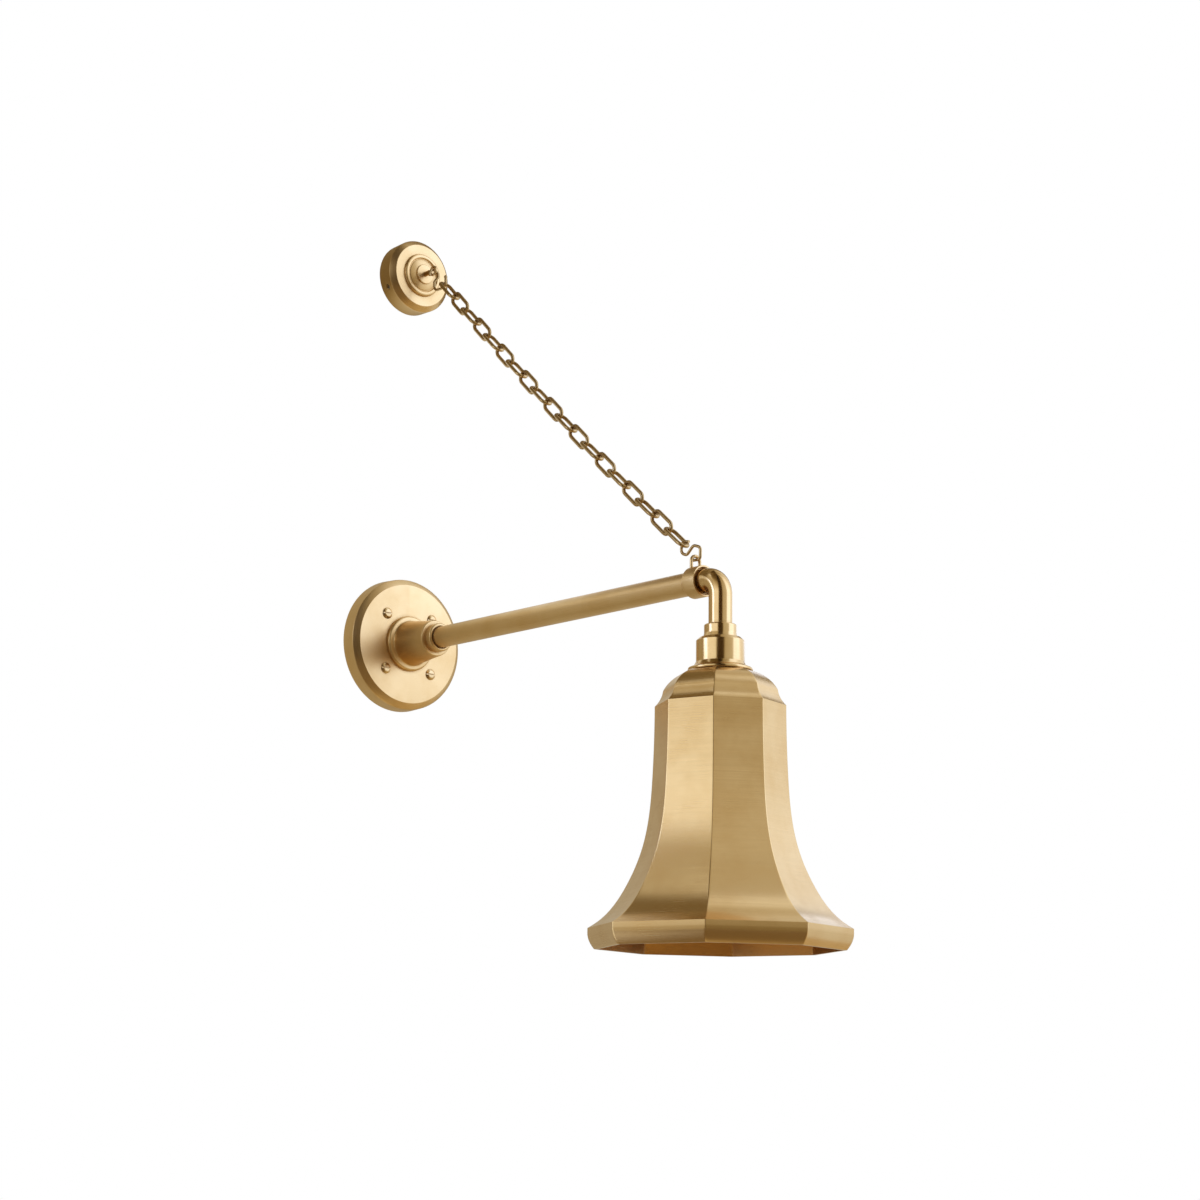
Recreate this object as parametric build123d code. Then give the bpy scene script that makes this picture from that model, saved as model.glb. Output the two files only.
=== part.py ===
"""Brass wall light: a long straight arm with a bell shade, stayed by a chain.

Row frame, millimetres: the wall is the plane Y = 0, the arm runs out along -Y,
+Z is up. The origin is the middle of the mounting bracket, on the wall.
Each function builds one physical piece, and PIECES at the end names them all.
"""

import os
from math import atan2, cos, degrees, hypot, pi, radians, sin

from build123d import *

# ---- driving dimensions -------------------------------------------------------------

ARM_REACH = 473.0            # wall to the axis of the shade
ROSETTE_RISE = 391.0         # arm axis up to the axis of the chain rosette
RUNNING_GAP = 0.3            # between neighbours on bodies that move
SEAT_GAP = 0.05              # round a piece that is pushed or screwed into its seat

# wall plate, turned brass
PLATE_R = 67.3
PLATE_BAND_R = 66.6
PLATE_BAND_DEPTH = 14.4
PLATE_FACE_R = 60.5
PLATE_DEPTH = 19.1
PLATE_WALL = 3.0
PLATE_SCREW_PITCH = 56.0     # square pattern of the four visible screws

# mounting bracket behind the plate, steel
BRACKET_R = 54.0
BRACKET_THICK = 2.5
BOX_SCREW_PITCH = 88.9       # outlet box screws, 3 1/2 in
BOX_SLOT_LENGTH = 9.0
BOX_SLOT_R = 2.4
PILLAR_R = 4.5
LEAD_HOLE_R = 8.0
LEAD_HOLE_OFFSET = 20.0      # above the arm axis

# slotted screws
SCREW_R = 1.95
SCREW_HEAD_R = 5.2
SCREW_HEAD_HIGH = 1.9
SCREW_SLOT_WIDE = 1.3
SCREW_SLOT_DEEP = 1.1
SCREW_HOLE_R = 2.3
SCREW_LENGTH = 12.0

# arm and its hub
TUBE_R = 10.6
TUBE_WALL = 1.6
HUB_FLANGE_R = 28.0
HUB_FLANGE_THICK = 4.4
HUB_BASE_R = 22.6
HUB_NOSE_R = 18.5
HUB_LENGTH = 45.2            # plate face to the end of the nose
RING_R = 14.3
RING_LENGTH = 8.6
RING_MOUTH_R = 11.5
NUT_ACROSS_FLATS = 30.0
NUT_THICK = 5.0

# collar, elbow and drop
COLLAR_R = 14.2
COLLAR_SETBACK = 20.0        # shade axis back to the collar's mouth
COLLAR_LENGTH = 18.0
COLLAR_CHAMFER = 3.4
COLLAR_MOUTH_R = 12.4
COLLAR_MOUTH_DEPTH = 5.5
ELBOW_R = 10.5
ELBOW_BEND_R = 16.0
DROP_RING_R = 14.3
DROP_RING_TOP = -42.0        # heights on the shade's axis
DROP_RING_FLARE = 0.9

# socket cup, gallery and lampholder
CUP_TOP = -54.0
CUP_R = 21.2
CUP_CHAMFER = 2.6
CUP_WALL = 1.5
GALLERY_TOP = -75.6
GALLERY_R = 28.3
GALLERY_BOTTOM = -83.4
SKIRT_R = 18.0               # threaded skirt of the lampholder
SKIRT_BOTTOM = -112.0
SHELL_R = 13.2               # inside of the lamp's screw shell
SHELL_WALL = 0.5
SHELL_TOP = -80.8
SHELL_LENGTH = 24.2
LEAD_HOLE_DEPTH = 7.0
SHELF_DROP = 9.0             # room for the leads between the cup's top and the lampholder
CONTACT_R = 4.0
CONTACT_THICK = 0.9
CONTACT_RECESS_R = 10.0
CONTACT_RECESS_DEEP = 2.0
FITTER_HOLE_R = 20.0         # hole in the shade's crown, with slack round the skirt
SHADE_RING_R = 26.0
SHADE_RING_THICK = 6.0
RING_GRIPS = 16              # notches round the ring's rim
RING_GRIP_R = 1.0

# octagonal bell shade, measured across its corners
SHADE_SIDES = 8
SHADE_TURN = -4.9            # degrees, as the shade sits in the photograph
SHADE_WALL = 1.2
SHADE_TOP = -83.7
CROWN_FLAT_R = 29.5          # the crown is flat as far as the gallery reaches
DOME_MID_R = 41.6
DOME_MID_Z = -89.9
SHOULDER_R = 50.0
SHOULDER_Z = -100.0
COVE_MID_R = 52.1
COVE_MID_Z = -106.8
SKIRT_TOP_R = 57.2
SKIRT_TOP_Z = -113.6
FLARE_R = (58.7, 67.3, 80.3, 104.9)
FLARE_Z = (-175.3, -237.1, -268.1, -299.0)
RIM_R = 113.7
RIM_Z = -304.6
RIM_THICK = 8.7              # solid rim, at the corners
RIM_FOOT_Z = -322.6
RIM_ROUND = 6.5

# chain rosette
ROSETTE_R = 38.2
ROSETTE_BAND_DEPTH = 14.0
ROSETTE_FACE_R = 33.2
ROSETTE_FACE_DEPTH = 21.0
ROSETTE_STEP_R = 22.6
ROSETTE_DOME_R = 19.0
ROSETTE_DOME_DEPTH = 27.5
ROSETTE_WALL = 2.4
BOSS_R = 10.4
BOSS_THICK = 1.6
GRUB_SCREW_R = 2.0
GRUB_SCREW_HOLE_R = 2.3
GRUB_SCREW_DEPTH = 8.0
GRUB_SCREW_SINK = 0.8
GRUB_KEY_R = 0.9
GRUB_KEY_DEPTH = 1.4
ROSETTE_SCREW_PITCH = 40.0
ROSETTE_SCREW_HOLE_R = 2.4
ROSETTE_RIM_WALL = 3.0       # rim of the bracket inside the cover
ROSETTE_RIM_DEPTH = 11.0
EYE_BOSS_R = 8.0
EYE_BOSS_FLOOR = 4.0

# screw eye, chain and hooks
EYE_WIRE_R = 1.3
EYE_RING_R = 4.3
EYE_CENTRE = 42.6            # from the wall
EYE_SHANK_R = 2.6
EYE_SHANK_END = 38.0
LINKS = 19
LINK_INNER_WIDE = 6.2
LINK_WIRE_R = 1.5
CHAIN_SAG = 4.1              # square to the chord between the end links
FIRST_LINK_OUT = 28.5        # centre of link 1, out from and below the eye
FIRST_LINK_DOWN = 28.8
LAST_LINK_IN = 25.0          # centre of the last link, back from and above the staple's crest
LAST_LINK_UP = 21.4
HOOK_WIRE_R = 1.35
HOOK_BALL_R = 1.8            # blob that ends the upper hook
STAPLE_WIRE_R = 1.5
STAPLE_HALF = 5.0
STAPLE_SETBACK = 12.0        # collar's mouth back to the staple
STAPLE_CREST = 24.0          # above the arm axis

# leads inside the arm
LEAD_R = 1.1
LEAD_SPREAD = 3.0
LEAD_START = 4.0             # from the wall
LEAD_TAIL = 5.0              # length inside the lampholder

# worked out from the values above
COLLAR_END = ARM_REACH - COLLAR_SETBACK
COLLAR_START = COLLAR_END - COLLAR_LENGTH
STAPLE_Y = COLLAR_END - STAPLE_SETBACK
SHADE_FLATNESS = cos(pi / SHADE_SIDES)      # middle of a side to corner
RIM_INNER_R = RIM_R - RIM_THICK
CUP_SHELF = CUP_TOP - CUP_WALL - SHELF_DROP      # top of the lampholder inside the cup

# ---- helpers ------------------------------------------------------------------------


def outline(corners):
    """Closed face through (r, h) corners; a third number rounds that corner."""
    points = [corner[:2] for corner in corners]
    rounds = [corner[2] if len(corner) > 2 else 0 for corner in corners]
    return make_face(Plane.XZ * FilletPolyline(*points, radius=rounds, close=True))


def turned_down(corners):
    """Solid of revolution about the shade's axis; corners are (r, z)."""
    return Pos(0, -ARM_REACH, 0) * revolve(outline(corners), Axis.Z)


def turned_out(corners, height=0.0):
    """Solid of revolution about a line out of the wall; corners are (r, from the wall)."""
    return Pos(0, 0, height) * Rot(90, 0, 0) * revolve(outline(corners), Axis.Z)


def rod_out(radius, start, end, x=0.0, z=0.0):
    """Round bar square to the wall, between two distances from it."""
    bar = Cylinder(radius, end - start, align=(Align.CENTER, Align.CENTER, Align.MIN))
    return Pos(x, -start, z) * Rot(90, 0, 0) * bar


def wire(path, radius):
    """Round wire swept along a path."""
    start = Plane(origin=path @ 0, z_dir=path % 0)
    return sweep(start * Circle(radius), path=path)


def screw_places():
    half = PLATE_SCREW_PITCH / 2
    return [(x, z) for x in (-half, half) for z in (-half, half)]


# ---- wall plate and what is behind it -----------------------------------------------


def wall_plate():
    inner_r = PLATE_BAND_R - PLATE_WALL
    inner_depth = PLATE_DEPTH - PLATE_WALL
    bore = TUBE_R + SEAT_GAP
    body = turned_out([
        (PLATE_R, 0), (PLATE_BAND_R, PLATE_BAND_DEPTH, 1.5), (PLATE_FACE_R, PLATE_DEPTH, 0.8),
        (bore, PLATE_DEPTH), (bore, inner_depth), (PLATE_FACE_R - PLATE_WALL, inner_depth, 2.0),
        (inner_r, PLATE_BAND_DEPTH - PLATE_WALL, 1.5), (inner_r, 0)])
    for x, z in screw_places():
        body -= rod_out(SCREW_HOLE_R, inner_depth - 1, PLATE_DEPTH + 1, x, z)
    return body


def mounting_bracket():
    """Steel disc with four tapped pillars; the outlet box screws pass its two slots."""
    body = rod_out(BRACKET_R, 0, BRACKET_THICK)
    pillar_end = PLATE_DEPTH - PLATE_WALL
    for x, z in screw_places():
        body += rod_out(PILLAR_R, 0, pillar_end, x, z)
        body -= rod_out(SCREW_R + SEAT_GAP, BRACKET_THICK, pillar_end + 1, x, z)
    slot = Rot(90, 0, 0) * extrude(SlotOverall(BOX_SLOT_LENGTH, 2 * BOX_SLOT_R), BRACKET_THICK + 2)
    for side in (-1, 1):
        body -= Pos(side * BOX_SCREW_PITCH / 2, 1, 0) * slot
    body -= rod_out(LEAD_HOLE_R, -1, BRACKET_THICK + 1, 0, LEAD_HOLE_OFFSET)
    return body


def slotted_screw(x, z, turn):
    """Round-head screw standing on the plate's face, its slot turned by some degrees."""
    head = turned_out([
        (0, PLATE_DEPTH), (SCREW_HEAD_R, PLATE_DEPTH), (SCREW_HEAD_R, PLATE_DEPTH + 0.5, 0.3),
        (SCREW_HEAD_R * 0.6, PLATE_DEPTH + SCREW_HEAD_HIGH, 1.2), (0, PLATE_DEPTH + SCREW_HEAD_HIGH)])
    slot_y = -(PLATE_DEPTH + SCREW_HEAD_HIGH)
    slot = Pos(0, slot_y, 0) * Rot(0, turn, 0) * Box(
        3 * SCREW_HEAD_R, 2 * SCREW_SLOT_DEEP, SCREW_SLOT_WIDE)
    shank = rod_out(SCREW_R, PLATE_DEPTH - SCREW_LENGTH, PLATE_DEPTH)
    return Pos(x, 0, z) * (head - slot + shank)


def plate_screws():
    turns = (8, 12, 10, 9)
    return Compound(children=[slotted_screw(x, z, turn)
                              for (x, z), turn in zip(screw_places(), turns)])


def arm_lock_nut():
    """Hexagon nut that draws the hub against the plate from behind."""
    end = PLATE_DEPTH - PLATE_WALL
    hexagon = RegularPolygon(NUT_ACROSS_FLATS / 2, 6, major_radius=False)
    nut = Pos(0, -(end - NUT_THICK), 0) * Rot(90, 0, 0) * extrude(hexagon, NUT_THICK)
    return nut - rod_out(TUBE_R + SEAT_GAP, 0, PLATE_DEPTH)


# ---- arm ----------------------------------------------------------------------------


def arm_hub():
    bore = TUBE_R + SEAT_GAP
    flange_end = PLATE_DEPTH + HUB_FLANGE_THICK
    nose_end = PLATE_DEPTH + HUB_LENGTH
    return turned_out([
        (bore, PLATE_DEPTH), (HUB_FLANGE_R, PLATE_DEPTH), (HUB_FLANGE_R, flange_end, 2.6),
        (HUB_BASE_R, flange_end + 0.6, 1.4), (HUB_NOSE_R, nose_end - 5.5, 4.0),
        (HUB_NOSE_R - 0.5, nose_end, 1.2), (bore, nose_end)])


def hub_ring():
    """Lock ring at the hub's nose; its mouth leaves a dark line round the tube."""
    start = PLATE_DEPTH + HUB_LENGTH
    end = start + RING_LENGTH
    bore = TUBE_R + SEAT_GAP
    return turned_out([
        (bore, start), (RING_R, start), (RING_R, end, 2.0), (RING_MOUTH_R, end, 0.4),
        (RING_MOUTH_R, end - 4), (bore, end - 4)])


def tube_end():
    """Where the arm tube stops inside the collar and the elbow begins."""
    return COLLAR_END - COLLAR_MOUTH_DEPTH - 1.0


def arm_tube():
    start = PLATE_DEPTH - PLATE_WALL - NUT_THICK - 1.5
    inner = TUBE_R - TUBE_WALL
    return turned_out([(inner, start), (TUBE_R, start), (TUBE_R, tube_end()), (inner, tube_end())])


def staple_path():
    """U of wire: two legs on the collar's crown, spaced along X."""
    foot = COLLAR_R - 3.0
    half, y = STAPLE_HALF, -STAPLE_Y
    points = [(-half, y, foot), (-half, y, STAPLE_CREST), (half, y, STAPLE_CREST), (half, y, foot)]
    return FilletPolyline(*points, radius=STAPLE_HALF - 0.3)


def arm_collar():
    bore = TUBE_R + SEAT_GAP
    body = turned_out([
        (bore, COLLAR_START), (TUBE_R + 0.6, COLLAR_START),
        (COLLAR_R, COLLAR_START + COLLAR_CHAMFER, 1.2), (COLLAR_R, COLLAR_END, 0.6),
        (COLLAR_MOUTH_R, COLLAR_END, 0.4), (COLLAR_MOUTH_R, COLLAR_END - COLLAR_MOUTH_DEPTH),
        (bore, COLLAR_END - COLLAR_MOUTH_DEPTH)])
    return body - wire(staple_path(), STAPLE_WIRE_R)


def chain_staple():
    return wire(staple_path(), STAPLE_WIRE_R)


def elbow_path():
    end = CUP_TOP - CUP_WALL
    points = [(0, -tube_end(), 0), (0, -ARM_REACH, 0), (0, -ARM_REACH, end)]
    return FilletPolyline(*points, radius=[ELBOW_BEND_R])


def elbow_tube():
    return wire(elbow_path(), ELBOW_R) - wire(elbow_path(), ELBOW_R - TUBE_WALL)


# ---- drop, socket and shade ---------------------------------------------------------


def drop_ring():
    bore = ELBOW_R + SEAT_GAP
    return turned_down([
        (bore, DROP_RING_TOP), (DROP_RING_R, DROP_RING_TOP, 1.4),
        (DROP_RING_R, CUP_TOP + 4.0, 4.0), (DROP_RING_R + DROP_RING_FLARE, CUP_TOP), (bore, CUP_TOP)])


def socket_cup():
    inner = CUP_R - CUP_WALL
    bore = ELBOW_R + SEAT_GAP
    return turned_down([
        (bore, CUP_TOP), (CUP_R - CUP_CHAMFER, CUP_TOP), (CUP_R, CUP_TOP - CUP_CHAMFER, 0.5),
        (CUP_R, GALLERY_TOP), (inner, GALLERY_TOP), (inner, CUP_TOP - CUP_CHAMFER - 1),
        (CUP_R - CUP_CHAMFER - 1, CUP_TOP - CUP_WALL), (bore, CUP_TOP - CUP_WALL)])


def shade_gallery():
    """Flared seat that the shade's crown is drawn up against."""
    bore = SKIRT_R + SEAT_GAP
    return turned_down([
        (bore, GALLERY_TOP), (CUP_R + 0.3, GALLERY_TOP), (CUP_R + 2.2, GALLERY_TOP - 3.6, 2.5),
        (GALLERY_R, GALLERY_TOP - 5.2, 1.4), (GALLERY_R, GALLERY_BOTTOM, 0.8),
        (bore, GALLERY_BOTTOM)])


def lampholder_body():
    """Porcelain body: a threaded skirt below, a shoulder held inside the cup."""
    shoulder = CUP_R - CUP_WALL - SEAT_GAP
    hollow = SHELL_R + SHELL_WALL + SEAT_GAP
    floor = SHELL_TOP + CONTACT_RECESS_DEEP
    body = turned_down([
        (0, CUP_SHELF), (shoulder, CUP_SHELF, 1.0), (shoulder, GALLERY_TOP), (SKIRT_R, GALLERY_TOP),
        (SKIRT_R, SKIRT_BOTTOM), (hollow, SKIRT_BOTTOM), (hollow, SHELL_TOP),
        (CONTACT_RECESS_R, SHELL_TOP), (CONTACT_RECESS_R, floor), (0, floor)])
    lead_hole = Cylinder(LEAD_R + SEAT_GAP, 2 * LEAD_HOLE_DEPTH)
    for side in (-1, 1):
        body -= Pos(side * LEAD_SPREAD, -ARM_REACH, CUP_SHELF) * lead_hole
    return body


def screw_shell():
    outer = SHELL_R + SHELL_WALL
    bottom = SHELL_TOP - SHELL_LENGTH
    return turned_down([(SHELL_R, SHELL_TOP), (outer, SHELL_TOP), (outer, bottom), (SHELL_R, bottom)])


def centre_contact():
    """Domed contact in its recess above the screw shell."""
    top = SHELL_TOP + CONTACT_RECESS_DEEP
    tip = top - 2 * CONTACT_THICK
    return turned_down([
        (0, top), (CONTACT_R, top), (CONTACT_R, top - CONTACT_THICK), (CONTACT_R / 2, tip, 0.5), (0, tip)])


def shade_ring():
    """Threaded ring that clamps the shade from inside."""
    bore = SKIRT_R + SEAT_GAP
    top = SHADE_TOP - SHADE_WALL - RUNNING_GAP
    bottom = top - SHADE_RING_THICK
    body = turned_down([
        (bore, top), (SHADE_RING_R, top, 0.6), (SHADE_RING_R, bottom, 1.5), (bore, bottom)])
    grip = Cylinder(RING_GRIP_R, 3 * SHADE_RING_THICK)
    for place in PolarLocations(SHADE_RING_R + 0.3 * RING_GRIP_R, RING_GRIPS):
        body -= Pos(0, -ARM_REACH, (top + bottom) / 2) * place * grip
    return body


def flat_point(corner_r, z):
    """Point of the side's middle line for a radius measured at the corner."""
    return corner_r * SHADE_FLATNESS, z


def crown_and_flare():
    """Middle line of one side: flat crown, dome, cove and flare down to the rim."""
    crown = Line((0, SHADE_TOP), flat_point(CROWN_FLAT_R, SHADE_TOP))
    dome = ThreePointArc(
        crown @ 1, flat_point(DOME_MID_R, DOME_MID_Z), flat_point(SHOULDER_R, SHOULDER_Z))
    cove = ThreePointArc(
        dome @ 1, flat_point(COVE_MID_R, COVE_MID_Z), flat_point(SKIRT_TOP_R, SKIRT_TOP_Z))
    through = [flat_point(r, z) for r, z in zip(FLARE_R, FLARE_Z)]
    flare = Spline(cove @ 1, *through, flat_point(RIM_R, RIM_Z), tangents=[(0, -1), (1, -0.62)])
    return crown, dome, cove, flare


def inwards(line, share):
    """Point at a share of the line, moved in by the shade's wall."""
    along = line % share
    return (line @ share) + Vector(along.Y, -along.X) * SHADE_WALL


def outer_section():
    """Half section of the bell as a solid, out to the middle of a side."""
    crown, dome, cove, flare = crown_and_flare()
    foot = flat_point(RIM_R, RIM_FOOT_Z), flat_point(RIM_INNER_R, RIM_FOOT_Z)
    rim_round = min(RIM_ROUND, 0.9 * RIM_THICK * SHADE_FLATNESS, 0.9 * (RIM_Z - RIM_FOOT_Z))
    rim = FilletPolyline(flare @ 1, *foot, radius=[rim_round])
    back = Polyline(rim @ 1, (0, RIM_FOOT_Z), crown @ 0)
    return make_face([crown, dome, cove, flare, rim, back])


def inner_section():
    """Half section of the hollow, one wall inside the outer one and open below."""
    crown, dome, cove, flare = crown_and_flare()
    top = Line((0, SHADE_TOP - SHADE_WALL), inwards(crown, 1))
    dome_in = ThreePointArc(top @ 1, inwards(dome, 0.5), inwards(dome, 0.97))
    cove_in = ThreePointArc(dome_in @ 1, inwards(cove, 0.5), inwards(flare, 0.01))
    flare_in = Spline(cove_in @ 1, *[inwards(flare, share / 8) for share in range(1, 9)])
    below = RIM_FOOT_Z - 5
    back = Polyline(flare_in @ 1, ((flare_in @ 1).X, below), (0, below), top @ 0)
    hollow = make_face([top, dome_in, cove_in, flare_in, back])
    mouth = Rectangle(RIM_INNER_R * SHADE_FLATNESS, 400, align=(Align.MIN, Align.CENTER))
    return hollow & (Pos(0, (SHADE_TOP + RIM_FOOT_Z) / 2) * mouth)


def bell(section):
    """Eight equal wedges, each the section drawn along its side of the octagon."""
    half_side = RIM_R * sin(pi / SHADE_SIDES) + 2
    slab = Pos(0, half_side, 0) * extrude(Plane.XZ * section, 2 * half_side)
    far = RIM_R + 10
    corner_x, corner_y = far * SHADE_FLATNESS, far * sin(pi / SHADE_SIDES)
    plan = make_face(Polyline((0, 0), (corner_x, -corner_y), (corner_x, corner_y), close=True))
    wedge = slab & Pos(0, 0, RIM_FOOT_Z - 10) * extrude(plan, SHADE_TOP - RIM_FOOT_Z + 20)
    return Part() + [Rot(0, 0, side * 360 / SHADE_SIDES) * wedge for side in range(SHADE_SIDES)]


def shade():
    hole = Pos(0, 0, SHADE_TOP) * Cylinder(FITTER_HOLE_R, 20)
    turn = SHADE_TURN + 90 + 180 / SHADE_SIDES
    return Pos(0, -ARM_REACH, 0) * Rot(0, 0, turn) * (bell(outer_section()) - bell(inner_section()) - hole)


# ---- rosette ------------------------------------------------------------------------


def rosette_cover():
    wall = ROSETTE_WALL
    bore = EYE_SHANK_R + SEAT_GAP
    face_in = ROSETTE_FACE_DEPTH - wall
    body = turned_out([
        (ROSETTE_R, 0), (ROSETTE_R, ROSETTE_BAND_DEPTH, 1.2), (ROSETTE_FACE_R, ROSETTE_FACE_DEPTH, 1.0),
        (ROSETTE_STEP_R, ROSETTE_FACE_DEPTH, 0.6), (ROSETTE_STEP_R - 0.5, ROSETTE_DOME_DEPTH - 3.2, 1.6),
        (ROSETTE_DOME_R, ROSETTE_DOME_DEPTH - 1.6, 1.5), (BOSS_R, ROSETTE_DOME_DEPTH),
        (bore, ROSETTE_DOME_DEPTH), (bore, face_in), (ROSETTE_FACE_R - wall, face_in, 2.0),
        (ROSETTE_R - wall, ROSETTE_BAND_DEPTH - wall, 1.0), (ROSETTE_R - wall, 0)], ROSETTE_RISE)
    return body - grub_screw_bar(GRUB_SCREW_HOLE_R, 2 * ROSETTE_R)


def grub_screw_bar(radius, length):
    """Bar along X at the height of the two grub screws in the rosette's band."""
    return Pos(0, -GRUB_SCREW_DEPTH, ROSETTE_RISE) * Rot(0, 90, 0) * Cylinder(radius, 2 * length)


def rosette_bracket():
    """Wall disc with a rim for the grub screws and a tapped boss for the screw eye."""
    rim_r = ROSETTE_R - ROSETTE_WALL - RUNNING_GAP
    rim_in = rim_r - ROSETTE_RIM_WALL
    boss_end = ROSETTE_FACE_DEPTH - ROSETTE_WALL - RUNNING_GAP
    thread = EYE_SHANK_R + SEAT_GAP
    body = turned_out([
        (0, 0), (rim_r, 0), (rim_r, ROSETTE_RIM_DEPTH), (rim_in, ROSETTE_RIM_DEPTH),
        (rim_in, BRACKET_THICK), (EYE_BOSS_R, BRACKET_THICK), (EYE_BOSS_R, boss_end),
        (thread, boss_end), (thread, EYE_BOSS_FLOOR), (0, EYE_BOSS_FLOOR)], ROSETTE_RISE)
    for side in (-1, 1):
        x = side * ROSETTE_SCREW_PITCH / 2
        body -= rod_out(ROSETTE_SCREW_HOLE_R, -1, BRACKET_THICK + 1, x, ROSETTE_RISE)
    outer_only = grub_screw_bar(GRUB_SCREW_R + SEAT_GAP, ROSETTE_R)
    return body - (outer_only - rod_out(rim_in - 1, 0, 2 * ROSETTE_RIM_DEPTH, 0, ROSETTE_RISE))


def rosette_grub_screws():
    """Two cup-point screws through the cover's band into the bracket's rim."""
    outer = ROSETTE_R - GRUB_SCREW_SINK
    length = ROSETTE_WALL + RUNNING_GAP + ROSETTE_RIM_WALL - GRUB_SCREW_SINK + 0.4
    screws = []
    for side in (-1, 1):
        middle = side * (outer - length / 2)
        at = Pos(middle, -GRUB_SCREW_DEPTH, ROSETTE_RISE) * Rot(0, 90, 0)
        socket = Pos(side * outer, -GRUB_SCREW_DEPTH, ROSETTE_RISE) * Rot(0, 90, 0)
        key = socket * extrude(RegularPolygon(GRUB_KEY_R, 6), GRUB_KEY_DEPTH, both=True)
        screws.append(at * Cylinder(GRUB_SCREW_R, length) - key)
    return Compound(children=screws)


def eye_washer():
    start = ROSETTE_DOME_DEPTH
    bore = EYE_SHANK_R + SEAT_GAP
    return turned_out([(bore, start), (BOSS_R, start), (BOSS_R, start + BOSS_THICK, 0.7),
                       (bore, start + BOSS_THICK)], ROSETTE_RISE)


def screw_eye():
    """Threaded shank in the rosette with a ring in the upright plane."""
    shank = rod_out(EYE_SHANK_R, EYE_BOSS_FLOOR + 1, EYE_SHANK_END - 1.5, 0, ROSETTE_RISE)
    neck = rod_out(EYE_WIRE_R + 0.5, EYE_SHANK_END - 2, EYE_CENTRE - EYE_RING_R + 0.4, 0, ROSETTE_RISE)
    ring = Pos(0, -EYE_CENTRE, ROSETTE_RISE) * Rot(0, 90, 0) * Torus(EYE_RING_R, EYE_WIRE_R)
    return shank + neck + ring


# ---- chain --------------------------------------------------------------------------


def chain_ends():
    """Centres (y, z) of the first and the last link."""
    first = -EYE_CENTRE - FIRST_LINK_OUT, ROSETTE_RISE - FIRST_LINK_DOWN
    last = -STAPLE_Y + LAST_LINK_IN, STAPLE_CREST + LAST_LINK_UP
    return first, last


def link_spacing():
    (y0, z0), (y1, z1) = chain_ends()
    return hypot(y1 - y0, z1 - z0) / (LINKS - 1)


def chain_point(number):
    """Centre (y, z) and slope of a link on the sagging line; links count from 1."""
    (y0, z0), (y1, z1) = chain_ends()
    share = (number - 1) / (LINKS - 1)
    chord = hypot(y1 - y0, z1 - z0)
    along_y, along_z = (y1 - y0) / chord, (z1 - z0) / chord
    sag = 4 * CHAIN_SAG * share * (1 - share)
    y = y0 + share * (y1 - y0) - sag * along_z
    z = z0 + share * (z1 - z0) + sag * along_y
    tilt = degrees(4 * CHAIN_SAG * (1 - 2 * share) / chord)
    return y, z, degrees(atan2(along_z, along_y)) + tilt


def chain_link(number):
    """Oval link; odd ones stand edge-on to the upright plane, even ones lie in it."""
    y, z, slope = chain_point(number)
    inner_long = link_spacing() + RUNNING_GAP
    wide = LINK_INNER_WIDE / 2 + LINK_WIRE_R
    half_long = inner_long / 2 + LINK_WIRE_R
    path = FilletPolyline(
        (-half_long, -wide), (half_long, -wide), (half_long, wide), (-half_long, wide),
        radius=wide - 0.02, close=True)
    middle = path.edges().filter_by(GeomType.LINE).sort_by(SortBy.LENGTH)[-1]
    start = Plane(origin=middle @ 0.5, z_dir=middle % 0.5)
    link = sweep(start * Circle(LINK_WIRE_R), path=Wire(path.edges()))
    across = 90 if number % 2 == 0 else 0
    return Pos(0, y, z) * Rot(slope, 0, 0) * Rot(0, 0, 90) * Rot(across, 0, 0) * link


def crown_of_link(number, towards):
    """Middle of the wire (y, z) at a link's end; towards is -1 for its upper end, 1 for its lower."""
    y, z, slope = chain_point(number)
    reach = towards * ((link_spacing() + RUNNING_GAP) / 2 + LINK_WIRE_R)
    return y + reach * cos(radians(slope)), z + reach * sin(radians(slope))


def upper_hook():
    """S of wire: its upper turn passes the screw eye sideways, its lower turn holds link 1."""
    eye_y, eye_z = -EYE_CENTRE - 0.7, ROSETTE_RISE
    crown_y, crown_z = crown_of_link(1, -1)
    side = 4.6
    points = [
        (-side, eye_y + 0.2, eye_z - 6.5), (-side, eye_y, eye_z + 0.6), (side, eye_y, eye_z + 0.6),
        (side * 0.8, eye_y - 3.4, eye_z - 7.0), (0, eye_y - 1.4, eye_z - 12.6),
        (0, crown_y + 14.8, crown_z - 3.9), (0, crown_y - 3.9, crown_z - 4.4),
        (0, crown_y - 3.4, crown_z + 6.6)]
    path = FilletPolyline(*points, radius=[4.0, 4.0, 3.0, 2.0, 5.6, 5.0])
    return wire(path, HOOK_WIRE_R) + Pos(*points[-1]) * Sphere(HOOK_BALL_R)


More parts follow.
